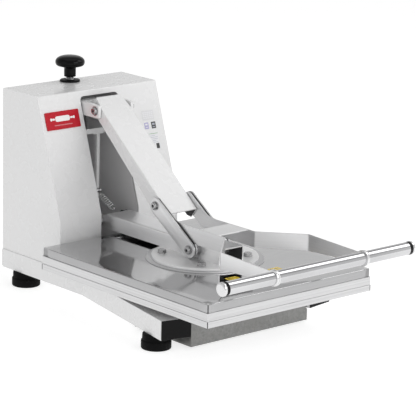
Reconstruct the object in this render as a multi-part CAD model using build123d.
from build123d import *
import math
import os

# Hand toggle dough press: a heated upper platen on a rear-hinged channel arm is
# pressed onto a fixed lower platen by a strut and bell-crank toggle with a
# cross handle. Millimetres, +Z up, the operator stands at -Y, X = 0 is the
# plane of symmetry. The pieces are laid out about the centre of the platen's
# top face and placed so that the origin is the centre of the footprint box at
# floor level.

# ---------------------------------------------------------------- placing
place_y = -70.0          # platen centre behind/in front of the footprint centre
place_z = 137.0          # height of the platen cover's top above the floor

# ---------------------------------------------------------------- platens
cover_w, cover_d = 457.0, 548.0
cover_h, cover_t = 18.6, 1.5
cover_gap = 1.6          # open corner between two folded skirts
plate_w, plate_d = 460.0, 551.0
plate_top, plate_bot = -18.6, -36.2
lower_top, lower_bot = -36.5, -50.0
plate_chamfer = 1.0
heater_r = 3.6
ins_t = 5.0

# ---------------------------------------------------------------- disc
ring_r, ring_top = 128.5, 1.6
disc_r, disc_top = 116.0, 7.5
disc_bolt_xy = (66.0, 65.0)
disc_bolt_af, disc_bolt_h = 17.0, 6.4

# ---------------------------------------------------------------- pivots (y, z)
P0 = (322.0, 273.0)      # strut to adjusting block
P1 = (108.0, 101.0)      # strut to bell crank
P2 = (-6.0, 26.5)        # bell crank to platen arm
P3 = (320.0, 22.0)       # platen arm to housing

# ---------------------------------------------------------------- platen arm
arm_hw, arm_t = 34.5, 3.0
arm_top, arm_front, arm_rear = 41.0, -85.0, 296.0
lug_r = 13.5
shaft_r, shaft_clear = 8.0, 0.05

# ---------------------------------------------------------------- strut
strut_hw, strut_t = 41.0, 3.0
strut_angle = math.degrees(math.atan2(P0[1] - P1[1], P0[0] - P1[0]))
strut_lo, strut_hi = -33.8, 303.0
strut_web_n = 10.0
strut_top_hw, strut_chamfer_s = 34.0, 258.0

# ---------------------------------------------------------------- bell crank
link_in, link_out, link_r = 48.0, 52.0, 18.0
spacer_r = 9.0
hp_in, hp_out = 41.6, 44.4
hp_t = hp_out - hp_in
bend1_y, bend2_y = -111.0, -191.6
fork_x = 124.0
crank_r = 17.0
bar_y, bar_z = -354.5, 57.0
bar_r, bar_bore = 14.0, 11.8
bar_half = 253.0
ring_w, cap_w = 8.0, 8.0
web_y0, web_y1, web_top = -90.0, -29.0, 75.5

# ---------------------------------------------------------------- pivot hardware
mid_pin_r, low_pin_r, pin_clear = 5.0, 6.0, 0.05
head_r, washer_r, washer_t, head_h = 8.5, 10.5, 1.4, 5.0
socket_af = 6.0

# ---------------------------------------------------------------- housing
hw = 168.5
h_top, h_bot = 309.4, -62.0
h_rear, h_top_front = 504.0, 377.0
h_face_y, h_bend_z = 291.0, 45.0
sheet = 2.0
slot_hw, slot_top, slot_bot, slot_r = 53.5, 297.0, -20.0, 9.0
frame_in, frame_out = 56.0, 60.0

# ---------------------------------------------------------------- knob, block
screw_y = 478.0
screw_r = 9.0
flange_r, flange_h = 23.0, 5.0
cheek_in, cheek_out = 42.0, 50.0
block_z0, block_z1 = 257.0, 287.0
block_front, cross_y0, cross_y1 = 310.0, 366.0, 396.0

# ---------------------------------------------------------------- base
base_hw, base_top, base_bot = 170.0, -62.0, -104.2
base_front = 208.0
leg_end_y, leg_slope, leg_slope_right, leg_w, leg_t = -148.5, 0.2103, 0.1727, 70.0, 3.0
foot_in = 19.5           # foot centre, in from the leg's outer side
box_hw, box_y0, box_y1, box_z0, box_z1 = 165.0, -155.0, 30.0, -131.0, -50.0
box_x = -3.5             # the box hangs a little to one side of the centre
foot_bot = -137.0
foot_r, foot_top_r, foot_step = 32.0, 29.5, -118.5
foot_front_y, foot_right_y, foot_rear_y, foot_rear_x = -97.0, -60.0, 443.0, 148.0

os.makedirs("parts", exist_ok=True)
made = {}


def put(name, shape):
    """Move a finished piece to the stored frame and write it."""
    moved = Pos(0, place_y, place_z) * shape
    solids = list(moved.solids())
    out = solids[0] if len(solids) == 1 else Compound(children=solids)
    export_step(out, "parts/" + name + ".step")
    made[name] = out


def box(x0, x1, y0, y1, z0, z1):
    return Pos((x0 + x1) / 2, (y0 + y1) / 2, (z0 + z1) / 2) * Box(x1 - x0, y1 - y0, z1 - z0)


def cyl_x(x0, x1, y, z, r):
    return Pos((x0 + x1) / 2, y, z) * Rot(0, 90, 0) * Cylinder(r, x1 - x0)


def cyl_z(x, y, z0, z1, r):
    return Pos(x, y, (z0 + z1) / 2) * Cylinder(r, z1 - z0)


def yz_prism(pts, x0, x1):
    """Polygon in (y, z), extruded from x0 to x1."""
    face = make_face(Polyline([Vector(x0, a, b) for a, b in pts], close=True))
    return extrude(face, amount=x1 - x0, dir=(1, 0, 0))


def xy_prism(pts, z0, z1):
    face = make_face(Polyline([Vector(a, b, z0) for a, b in pts], close=True))
    return extrude(face, amount=z1 - z0, dir=(0, 0, 1))


def mirror_x(shape):
    return mirror(shape, about=Plane.YZ)


def both(shape):
    return [shape, mirror_x(shape)]


def group(items):
    out = []
    for i in items:
        out += list(i.solids())
    return Compound(children=out)


def hull_bar(a, b, r, x0, x1):
    """Flat bar with round ends about two (y, z) points."""
    dy, dz = b[0] - a[0], b[1] - a[1]
    n = math.hypot(dy, dz)
    oy, oz = -dz / n * r, dy / n * r
    body = yz_prism([(a[0] + oy, a[1] + oz), (b[0] + oy, b[1] + oz),
                     (b[0] - oy, b[1] - oz), (a[0] - oy, a[1] - oz)], x0, x1)
    return body + cyl_x(x0, x1, a[0], a[1], r) + cyl_x(x0, x1, b[0], b[1], r)


def hex_prism_x(x0, x1, y, z, af):
    r = af / math.sqrt(3)
    pts = [(y + r * math.cos(math.radians(60 * k)), z + r * math.sin(math.radians(60 * k))) for k in range(6)]
    return yz_prism(pts, x0, x1)


def hex_prism_z(x, y, z0, z1, af, turn=0.0):
    r = af / math.sqrt(3)
    pts = [(x + r * math.cos(math.radians(60 * k + turn)), y + r * math.sin(math.radians(60 * k + turn)))
           for k in range(6)]
    return xy_prism(pts, z0, z1)


def socket_bolt(x_head, x_end, y, z, pin_r):
    """Button-head socket bolt with its head outboard at x_head + head_h."""
    head = Pos(x_head + head_h / 2, y, z) * Rot(0, 90, 0) * Cone(head_r, head_r * 0.72, head_h)
    shank = cyl_x(x_end, x_head + 0.5, y, z, pin_r)
    sock = hex_prism_x(x_head + head_h - 3.0, x_head + head_h + 1.0, y, z, socket_af)
    return (head + shank) - sock


# ================================================================ platens
top = box(-cover_w / 2, cover_w / 2, -cover_d / 2, cover_d / 2, -cover_t, 0)
sk_x = box(-cover_w / 2, -cover_w / 2 + cover_t, -cover_d / 2 + cover_gap, cover_d / 2 - cover_gap, -cover_h, -cover_t)
sk_y = box(-cover_w / 2 + cover_gap, cover_w / 2 - cover_gap, -cover_d / 2, -cover_d / 2 + cover_t, -cover_h, -cover_t)
cover = top + sk_x + mirror_x(sk_x) + sk_y + mirror(sk_y, about=Plane.XZ)
for sx in (-1, 1):
    for sy in (-1, 1):
        cover -= box(sx * cover_w / 2 - cover_gap, sx * cover_w / 2 + cover_gap,
                     sy * cover_d / 2 - cover_gap, sy * cover_d / 2 + cover_gap, -cover_h - 1, 1)
put("upper_platen_cover", cover)

plate = box(-plate_w / 2, plate_w / 2, -plate_d / 2, plate_d / 2, plate_bot, plate_top)
plate = chamfer(plate.edges().filter_by(Axis.Z), plate_chamfer)
put("upper_platen_plate", plate)
lower = box(-plate_w / 2, plate_w / 2, -plate_d / 2, plate_d / 2, lower_bot, lower_top)
lower = chamfer(lower.edges().filter_by(Axis.Z), plate_chamfer)
put("lower_platen", lower)

# serpentine heating tube lying on the upper plate
runs = [-180.0, -108.0, -36.0, 36.0, 108.0, 180.0]
hz = plate_top + heater_r
heater = None
for i, hx in enumerate(runs):
    seg = Pos(hx, 0, hz) * Rot(90, 0, 0) * Cylinder(heater_r, 420)
    heater = seg if heater is None else heater + seg
    if i < len(runs) - 1:
        s = 1 if i % 2 == 0 else -1
        mid = (hx + runs[i + 1]) / 2
        half = Pos(mid, s * 210, hz) * Torus(36, heater_r)
        keep = box(mid - 60, mid + 60, s * 210 if s > 0 else -300, 300 if s > 0 else s * 210, hz - 8, hz + 8)
        heater = heater + (half & keep)
put("heating_element", heater)
put("insulation_board", box(-220, 220, -266, 266, -cover_t - ins_t, -cover_t))

put("disc_ring", cyl_z(0, 0, 0, ring_top, ring_r))
disc = cyl_z(0, 0, ring_top, disc_top, disc_r)
disc = fillet(disc.edges().group_by(Axis.Z)[-1], 0.8)
bolts = []
for sx in (-1, 1):
    for sy in (-1, 1):
        bx, by = sx * disc_bolt_xy[0], sy * disc_bolt_xy[1]
        disc -= cyl_z(bx, by, ring_top - 1, disc_top + 1, 5.2)
        bolts.append(hex_prism_z(bx, by, disc_top + 1.2, disc_top + 1.2 + disc_bolt_h, disc_bolt_af, 12.0)
                     + cyl_z(bx, by, disc_top, disc_top + 1.2, 9.6)
                     + cyl_z(bx, by, ring_top, disc_top + 0.5, 5.0))
put("pressure_disc", disc)
put("disc_bolts", group(bolts))

# ================================================================ platen arm
arm = box(-arm_hw, arm_hw, arm_front, arm_rear, disc_top, arm_top)
arm = fillet(arm.edges().filter_by(Axis.Y).group_by(Axis.Z)[-1], 3.0)
arm -= box(-arm_hw + arm_t, arm_hw - arm_t, arm_front - 1, arm_rear + 1, disc_top - 1, arm_top - arm_t)
lug = yz_prism([(arm_rear - 12, arm_top - 3.5), (arm_rear + 4, arm_top - 3.5), (P3[0] + 5, P3[1] + lug_r - 1.2),
                (P3[0] + 2, P3[1] - lug_r + 0.2), (arm_rear - 12, disc_top)], arm_hw - arm_t, arm_hw)
lug = lug + cyl_x(arm_hw - arm_t, arm_hw, P3[0], P3[1], lug_r)
arm = arm + lug + mirror_x(lug)
arm -= cyl_x(-60, 60, P3[0], P3[1], shaft_r + shaft_clear)
arm -= cyl_x(-60, 60, P2[0], P2[1], low_pin_r)
put("platen_arm", arm)
blk = box(-arm_hw + arm_t, arm_hw - arm_t, -42, 30, disc_top, arm_top - arm_t)
blk -= cyl_x(-60, 60, P2[0], P2[1], low_pin_r)
put("arm_mount_block", blk)
sp = cyl_x(arm_hw, hp_in - 0.3, P2[0], P2[1], 12.0) - cyl_x(0, 80, P2[0], P2[1], low_pin_r)
put("pivot_spacers", group(both(sp)))
lb = socket_bolt(link_out + 0.3 + washer_t, 6.0, P2[0], P2[1], low_pin_r)
put("lower_pivot_bolts", group(both(lb)))
lw = cyl_x(link_out + 0.3, link_out + 0.3 + washer_t, P2[0], P2[1], washer_r) - cyl_x(0, 80, P2[0], P2[1], low_pin_r)
put("lower_pivot_washers", group(both(lw)))

# ================================================================ hinge shaft and springs
shaft = cyl_x(-frame_out - 3, frame_out + 3, P3[0], P3[1], shaft_r)
put("hinge_shaft", shaft)
col = cyl_x(arm_hw + 0.4, arm_hw + 8.4, P3[0], P3[1], 13.0) - cyl_x(0, 80, P3[0], P3[1], shaft_r)
put("shaft_collars", group(both(col)))
anchor_y, anchor_z = 366.0, 77.0
put("spring_anchor_bar", cyl_x(-frame_in, 2.0, anchor_y, anchor_z, 5.0))
spring_r, spring_x = 8.0, -8.0
spring_up = Vector(spring_x, anchor_y - 8.0, anchor_z - 5.0)
spring_low = Vector(spring_x, arm_rear + 7.0, arm_top + 4.0)
v = spring_up - spring_low
c = (spring_up + spring_low) * 0.5
put("return_spring", Pos(c.X, c.Y, c.Z) * Rot(math.degrees(math.atan2(v.Z, v.Y)), 0, 0) * Rot(90, 0, 0)
    * Cylinder(spring_r, v.length))

# ================================================================ strut
prof = [(strut_lo, strut_web_n), (strut_lo, -18.0), (-22.0, -25.0), (24.0, -25.0), (284.0, -15.0),
        (strut_hi, -3.0), (strut_hi, strut_web_n)]
solid = yz_prism(prof, -strut_hw, strut_hw)
solid = fillet(solid.edges().filter_by(lambda e: abs(e.center().Z - strut_web_n) < 0.01 and abs(abs(e.center().X) - strut_hw) < 0.01), 3.0)
core = box(-strut_hw + strut_t, strut_hw - strut_t, strut_lo - 5, strut_hi + 5, -60, strut_web_n - strut_t)
strut = solid - core
for sx in (-1, 1):
    wedge = xy_prism([(sx * strut_hw * 1.2, strut_chamfer_s), (sx * strut_hw, strut_chamfer_s),
                      (sx * strut_top_hw, strut_hi + 0.01), (sx * strut_top_hw, strut_hi + 20),
                      (sx * strut_hw * 1.2, strut_hi + 20)], -80, 40)
    strut -= wedge
# the chamfered end keeps its folded cheeks, set in to follow the taper
for sx in (-1, 1):
    inner = xy_prism([(sx * (strut_hw - strut_t), strut_chamfer_s), (sx * strut_hw, strut_chamfer_s),
                      (sx * strut_top_hw, strut_hi), (sx * (strut_top_hw - strut_t), strut_hi)], -15.0, strut_web_n - strut_t)
    tip = yz_prism([(strut_chamfer_s, -14.0), (284.0, -15.0), (strut_hi, -3.0), (strut_hi, 20), (strut_chamfer_s, 20)], -60, 60)
    strut += (inner & tip)
for sx in (-1, 1):
    strut -= cyl_x(min(sx * 20, sx * 60), max(sx * 20, sx * 60), 0, 0, 6.6)
strut_place = Pos(0, P1[0], P1[1]) * Rot(strut_angle, 0, 0)
put("strut", strut_place * strut)
bush = cyl_x(strut_hw - strut_t, strut_hw + 0.3, P1[0], P1[1], 6.6) - cyl_x(0, 80, P1[0], P1[1], mid_pin_r + pin_clear)
put("strut_bushes", group(both(bush)))

# ================================================================ bell crank and handle
def path_strip(pts, t, z0, z1):
    """Folded strip of thickness t along a plan path."""
    segs = []
    for a, b in zip(pts[:-1], pts[1:]):
        d = Vector(b[0] - a[0], b[1] - a[1], 0).normalized()
        segs.append((a, b, d))
    left, right = [], []
    for i, p in enumerate(pts):
        if i == 0:
            d = segs[0][2]
            n = Vector(-d.Y, d.X, 0)
            k = 1.0
        elif i == len(pts) - 1:
            d = segs[-1][2]
            n = Vector(-d.Y, d.X, 0)
            k = 1.0
        else:
            d1, d2 = segs[i - 1][2], segs[i][2]
            n1, n2 = Vector(-d1.Y, d1.X, 0), Vector(-d2.Y, d2.X, 0)
            n = (n1 + n2).normalized()
            k = 1.0 / n.dot(n1)
        left.append((p[0] + n.X * t / 2 * k, p[1] + n.Y * t / 2 * k))
        right.append((p[0] - n.X * t / 2 * k, p[1] - n.Y * t / 2 * k))
    return xy_prism(left + right[::-1], z0, z1)


hp_mid = (hp_in + hp_out) / 2
plan = [(-hp_mid, 150.0), (-hp_mid, bend1_y), (-fork_x, bend2_y), (-fork_x, -400.0)]
strip = path_strip(plan, hp_t, -20, 150)
bends = strip.edges().filter_by(Axis.Z).filter_by(
    lambda e: min(abs(e.center().Y - bend1_y), abs(e.center().Y - bend2_y)) < 8.0)
strip = fillet(bends, 5.0)
side = yz_prism([(bar_y + 6, 68.5), (bend2_y, 74.0), (bend1_y, 75.5), (15, 75.5), (40, 78.5), (60, 86), (78, 99),
                 (98, 113), (70, 62), (22, 44), (-14, 40.5), (bend1_y, 40.5), (bend2_y, 37.5), (-262, 41.0),
                 (bar_y + 6, 42.5)], -300, 300)
side = side + hull_bar(P1, P2, crank_r, -300, 300) + cyl_x(-300, 300, bar_y, bar_z, 17.5)
hp = strip & side
hp -= cyl_x(-300, 300, bar_y, bar_z, bar_r)
hp -= cyl_x(-300, 300, P1[0], P1[1], mid_pin_r)
hp -= cyl_x(-300, 300, P2[0], P2[1], low_pin_r + pin_clear)
put("handle_plate_left", hp)
put("handle_plate_right", mirror_x(hp))
put("handle_web", box(-hp_in, hp_in, web_y0, web_y1, web_top - hp_t, web_top))
link = hull_bar(P1, P2, link_r, link_in, link_out)
link = fillet(link.edges().group_by(Axis.X)[-1], 0.8)
link -= cyl_x(0, 80, P1[0], P1[1], mid_pin_r)
link -= cyl_x(0, 80, P2[0], P2[1], low_pin_r + pin_clear)
put("crank_link_right", link)
put("crank_link_left", mirror_x(link))
mb = socket_bolt(link_out + washer_t, 30.0, P1[0], P1[1], mid_pin_r)
put("mid_pivot_bolts", group(both(mb)))
ls = []
for (py, pz), pr in ((P1, mid_pin_r), (P2, low_pin_r + pin_clear)):
    ring = cyl_x(hp_out, link_in, py, pz, spacer_r) - cyl_x(0, 80, py, pz, pr)
    ls += both(ring)
put("link_spacers", group(ls))
mw = cyl_x(link_out, link_out + washer_t, P1[0], P1[1], washer_r) - cyl_x(0, 80, P1[0], P1[1], mid_pin_r)
put("mid_pivot_washers", group(both(mw)))
mn = hex_prism_x(31.5, 37.4, P1[0], P1[1], 11.0) - cyl_x(0, 80, P1[0], P1[1], mid_pin_r)
put("mid_pivot_nuts", group(both(mn)))

tube = cyl_x(-bar_half, bar_half, bar_y, bar_z, bar_r) - cyl_x(-300, 300, bar_y, bar_z, bar_bore)
put("handle_bar", tube)
rg = cyl_x(bar_half, bar_half + ring_w, bar_y, bar_z, bar_r + 0.3)
put("bar_rings", group(both(rg)))
cp = cyl_x(bar_half + ring_w, bar_half + ring_w + cap_w, bar_y, bar_z, bar_r + 0.6)
cp = fillet(cp.edges().group_by(Axis.X)[-1], 3.0)
put("bar_end_caps", group(both(cp)))
cl = cyl_x(fork_x + hp_t / 2, fork_x + hp_t / 2 + 5.0, bar_y, bar_z, 17.0) - cyl_x(0, 300, bar_y, bar_z, bar_r)
cl = fillet(cl.edges().filter_by(GeomType.CIRCLE).group_by(Axis.X)[-1].sort_by(SortBy.RADIUS)[-1], 1.2)
put("bar_collars", group(both(cl)))

# ================================================================ housing
outer = [(h_rear, h_bot), (h_rear, h_top), (h_top_front, h_top), (h_face_y, h_bend_z), (h_face_y, h_bot)]
shell = yz_prism(outer, -hw, hw)
shell = fillet(shell.edges().filter_by(Axis.X).filter_by(lambda e: e.center().Z > h_top - 1), 4.0)
face_len = math.hypot(h_top_front - h_face_y, h_top - h_bend_z)
sl = sheet * 1.0
dy = sheet * face_len / (h_top - h_bend_z)
kink = sheet * math.tan(math.radians(0.5 * math.degrees(math.atan2(h_top_front - h_face_y, h_top - h_bend_z))))
topk = (h_top_front - h_face_y) / (h_top - h_bend_z)
inner = [(h_rear + 5, h_bot - 5), (h_rear + 5, h_top - sheet), (h_top_front + dy - sheet * topk, h_top - sheet),
         (h_face_y + sheet, h_bend_z + kink), (h_face_y + sheet, h_bot - 5)]
shell -= yz_prism(inner, -hw + sheet, hw - sheet)
slot = box(-slot_hw, slot_hw, h_face_y - 20, h_top_front + 40, slot_bot, slot_top)
slot = fillet(slot.edges().filter_by(Axis.Y).group_by(Axis.Z)[-1], slot_r)
shell -= slot & box(-200, 200, 200, h_top_front + 30, -200, h_top - sheet - 4)
shell -= cyl_z(0, screw_y, h_top - 10, h_top + 10, screw_r + 0.6)
put("housing_shell", shell)
bp = box(-hw + sheet, hw - sheet, h_rear - 3.5, h_rear - 1.5, h_bot + 1, h_top - sheet - 0.5)
bp -= Pos(110, h_rear, -20) * Rot(90, 0, 0) * Cylinder(8.05, 20)
put("back_panel", bp)
# side frames inside the slot carry the hinge shaft and guide the block
fr = yz_prism([(488, -60), (488, 302), (382, 302), (298, 44), (298, -60)], frame_in, frame_out)
fr -= cyl_x(0, 80, P3[0], P3[1], shaft_r)
put("inner_frame_right", fr)
put("inner_frame_left", mirror_x(fr))
put("cross_bar", box(-frame_in, frame_in, 353, 357, 214, 225))
put("guide_post", box(-4, 4, 372, 380, -60, 214) + box(-14, 14, 372, 380, 206, 214))
gl = Pos(110, h_rear + 1, -20) * Rot(90, 0, 0) * Cylinder(8.0, 14) + Pos(110, h_rear + 1.5, -20) * Rot(90, 0, 0) * Cylinder(11.5, 6)
gl -= Pos(110, h_rear, -20) * Rot(90, 0, 0) * Cylinder(4.0, 40)
put("cord_gland", gl)

# ================================================================ adjusting knob and block
fl = cyl_z(0, screw_y, h_top, h_top + flange_h, flange_r)
fl = fillet(fl.edges().group_by(Axis.Z)[-1], 1.5)
fl -= cyl_z(0, screw_y, h_top - 5, h_top + 20, screw_r + 0.05)
put("knob_flange", fl)
put("adjuster_screw", cyl_z(0, screw_y, 232.0, 335.0, screw_r))
with BuildSketch(Plane.XZ) as kp:
    with BuildLine():
        k0 = Line((screw_r, 321.0), (13.6, 321.0))
        k1 = Line(k0 @ 1, (13.6, 339.0))
        k2 = Spline([k1 @ 1, (20.0, 343.6), (29.5, 345.6)])
        k3 = Spline([k2 @ 1, (33.6, 354.5), (29.0, 363.0), (16.0, 368.2), (0.0, 369.4)])
        k4 = Line(k3 @ 1, (0.0, 335.0))
        k5 = Line(k4 @ 1, (screw_r, 335.0))
        k6 = Line(k5 @ 1, k0 @ 0)
    make_face()
knob = revolve(kp.sketch, Axis.Z, 360)
put("adjuster_knob", Pos(0, screw_y, 0) * knob)

cheek = yz_prism([(block_front, block_z0), (cross_y1, block_z0), (cross_y1, block_z1), (block_front + 26, block_z1),
                  (block_front, block_z1 - 2)], cheek_in, cheek_out)
cheek = fillet(cheek.edges().filter_by(Axis.X).filter_by(lambda e: e.center().Y < block_front + 1 and e.center().Z < 270), 4.0)
cheek -= cyl_x(0, 80, P0[0], P0[1], 6.0)
block = cheek + mirror_x(cheek) + box(-cheek_in, cheek_in, cross_y0, cross_y1, block_z0, block_z1) \
    + box(-19, 19, cross_y1, screw_y + 9, block_z0 + 2, block_z1 - 2) + cyl_z(0, screw_y, block_z0 + 2, block_z1 - 2, 19)
block -= cyl_z(0, screw_y, 200, 320, screw_r + 0.06)
put("clevis_block", block)
ub = socket_bolt(cheek_out + washer_t, cheek_in - 0.5, P0[0], P0[1], 6.0)
put("upper_pivot_bolts", group(both(ub)))
uw = cyl_x(cheek_out, cheek_out + washer_t, P0[0], P0[1], washer_r) - cyl_x(0, 80, P0[0], P0[1], 6.0)
put("upper_pivot_washers", group(both(uw)))

# ================================================================ base
base = box(-base_hw, base_hw, base_front, h_rear, base_bot, base_top)
base = fillet(base.edges().filter_by(Axis.Z).group_by(Axis.Y)[-1], 2.0)
base -= box(-base_hw + 3, base_hw - 3, base_front + 3, h_rear - 3, base_bot - 1, base_top - 3)
put("base_body", base)


def leg_poly(o, slope):
    ox1 = -base_hw - slope * (base_front - leg_end_y)
    n = math.hypot(1, slope)
    ux, uy = -slope / n, -1 / n          # along the leg, forwards
    vx, vy = 1 / n, -slope / n           # across, towards the middle
    e0 = (ox1 + vx * o, leg_end_y + vy * o)
    e1 = (ox1 + vx * (leg_w - o), leg_end_y + vy * (leg_w - o))
    t = (base_front - e1[1]) / (-uy)
    b = (e1[0] - ux * t, base_front)
    t0 = (base_front - e0[1]) / (-uy)
    a = (e0[0] - ux * t0, base_front)
    return a, e0, e1, b, (ux, uy)


def make_leg(slope, foot_y):
    """A left leg of this splay: its tube, end plug, foot centre and the box cut-out beside it."""
    a, e0, e1, b, u = leg_poly(0, slope)
    vx, vy = -u[1], u[0]
    leg = xy_prism([a, e0, e1, b], base_bot, base_top)
    ai, e0i, e1i, bi, u = leg_poly(leg_t, slope)
    far = 12.0
    hollow = xy_prism([(ai[0], ai[1]), (e0i[0] + u[0] * far, e0i[1] + u[1] * far), (e1i[0] + u[0] * far, e1i[1] + u[1] * far),
                       (bi[0], bi[1])], base_bot + leg_t, base_top - leg_t)
    leg -= hollow
    fx = -base_hw - slope * (base_front - foot_y) + foot_in * math.hypot(1, slope)
    leg -= cyl_z(fx, foot_y, base_bot - 1, base_bot + leg_t + 1, 4.5)
    plug_d = 9.0
    plug = xy_prism([(e0i[0] + 0.2, e0i[1]), (e1i[0] - 0.2, e1i[1]), (e1i[0] - 0.2 - u[0] * plug_d, e1i[1] - u[1] * plug_d),
                     (e0i[0] + 0.2 - u[0] * plug_d, e0i[1] - u[1] * plug_d)], base_bot + leg_t + 0.2, base_top - leg_t - 0.2)
    cap = xy_prism([(e0[0] + vx * 0.4, e0[1] + vy * 0.4), (e1[0] - vx * 0.4, e1[1] - vy * 0.4),
                    (e1[0] - vx * 0.4 + u[0] * 2.5, e1[1] - vy * 0.4 + u[1] * 2.5),
                    (e0[0] + vx * 0.4 + u[0] * 2.5, e0[1] + vy * 0.4 + u[1] * 2.5)], base_bot + 0.4, base_top - 0.4)
    plug = plug + cap
    notch = xy_prism([(a[0] - 20, a[1] + 10), (e0[0] - 20, e0[1] - 30), (e1[0] + 4, e1[1] - 30), (e1[0] + 4, e1[1]),
                      (b[0] + 4, b[1] + 10)], base_bot - 1.5, base_top + 1.5)
    return leg, plug, fx, notch


# the right leg is splayed a little less, and its foot sits further back
leg, plug_l, fx_l, notch_l = make_leg(leg_slope, foot_front_y)
leg_r, plug_r, fx_r, notch_r = make_leg(leg_slope_right, foot_right_y)
feet_xy = [(fx_l, foot_front_y), (-fx_r, foot_right_y), (-foot_rear_x, foot_rear_y), (foot_rear_x, foot_rear_y)]
put("base_leg_left", leg)
put("base_leg_right", mirror_x(leg_r))
rear_plug = box(base_hw - 38, base_hw - 1.5, h_rear, h_rear + 2.0, base_bot + 1.5, base_top - 1.5)
put("leg_plugs", group([plug_l, mirror_x(plug_r)] + both(rear_plug)))

feet, fbolts = [], []
for fx, fy in feet_xy:
    f = cyl_z(fx, fy, foot_bot, foot_step, foot_r)
    f = chamfer(f.edges().group_by(Axis.Z)[-1], 2.0)
    f = f + cyl_z(fx, fy, foot_step - 0.5, base_bot, foot_top_r)
    f -= cyl_z(fx, fy, foot_bot - 1, foot_bot + 7, 10.0)
    f -= cyl_z(fx, fy, foot_bot - 1, base_bot + 1, 4.5)
    feet.append(f)
    top_z = base_bot + leg_t + 8 if fy < 0 else base_bot + 8
    fbolts.append(cyl_z(fx, fy, foot_bot + 3, top_z, 4.5) + cyl_z(fx, fy, foot_bot + 2.0, foot_bot + 7.0, 9.0))
put("rubber_feet", group(feet))
put("foot_bolts", group(fbolts))
# cross plates above the two rear feet
rb = []
for sx in (-1, 1):
    r = box(sx * foot_rear_x - 30, sx * foot_rear_x + 18.9, foot_rear_y - 30, foot_rear_y + 30, base_bot, base_bot + 3) \
        if sx > 0 else box(sx * foot_rear_x - 18.9, sx * foot_rear_x + 30, foot_rear_y - 30, foot_rear_y + 30, base_bot, base_bot + 3)
    r -= cyl_z(sx * foot_rear_x, foot_rear_y, base_bot - 5, base_bot + 8, 4.5)
    rb.append(r)
put("foot_mount_plates", group(rb))

ub = box(box_x - box_hw, box_x + box_hw, box_y0, box_y1, box_z0, box_z1) \
    - box(box_x - box_hw + 1.5, box_x + box_hw - 1.5, box_y0 + 1.5, box_y1 - 1.5, box_z0 + 1.5, box_z1 + 1)
for sx in (-1, 1):
    fl_ = box(box_x + sx * (box_hw - 9) - 8, box_x + sx * (box_hw - 9) + 8, box_y0 + 1.5, box_y1 - 1.5, box_z1 - 2, box_z1)
    ub += fl_
# a shallow duct carries the wires from the box back to the base
duct = box(-60, 60, box_y1 - 1.5, base_front, -98.0, box_z1) - box(-58.5, 58.5, box_y1 - 3, base_front - 1.5, -96.5, box_z1 + 1)
ub += duct
ub -= notch_l
ub -= mirror_x(notch_r)
put("underside_box", ub)

# ================================================================ plates, labels, screws
ty, tz = (h_top_front - h_face_y) / face_len, (h_top - h_bend_z) / face_len
slope_deg = math.degrees(math.atan2(tz, ty))


def on_face(x0, x1, z0, z1, t, r, lift=0.0):
    """Thin plate on the sloping front face between two heights."""
    zc = (z0 + z1) / 2
    yc = h_face_y + (zc - h_bend_z) * ty / tz
    p = Box(x1 - x0, (z1 - z0) / tz, t)
    p = fillet(p.edges().filter_by(Axis.Z), r)
    return Pos((x0 + x1) / 2, yc - tz * (t / 2 + lift), zc + ty * (t / 2 + lift)) * Rot(slope_deg, 0, 0) * p


put("badge_plate", on_face(-159, -66, 235, 273, 2.2, 2.5))
st = [on_face(110, 144, 226, 247, 0.4, 1.5), on_face(112.5, 124.5, 207, 221, 0.4, 0.8), on_face(132.5, 145, 206.5, 221, 0.4, 0.8),
      on_face(120, 147, 160, 198, 0.4, 1.5)]
put("face_labels", group(st))
wl = [box(-75, -45, -165, -149, 0, 0.4), box(45, 75, -165, -149, 0, 0.4)]
put("cover_labels", group(wl))
sc = []
for z in (-40, 120, 280):
    for x in (-150, -50, 50, 150):
        c = Pos(x, h_rear - 1.5 + 1.0, z) * Rot(90, 0, 0) * Cylinder(4.2, 2.0)
        sc.append(c)
put("back_screws", group(sc))

allbb = Compound(children=list(made.values())).bounding_box()
print("box", [round(v, 2) for v in (allbb.min.X, allbb.min.Y, allbb.min.Z, allbb.max.X, allbb.max.Y, allbb.max.Z)])
print("nodes", len(made))
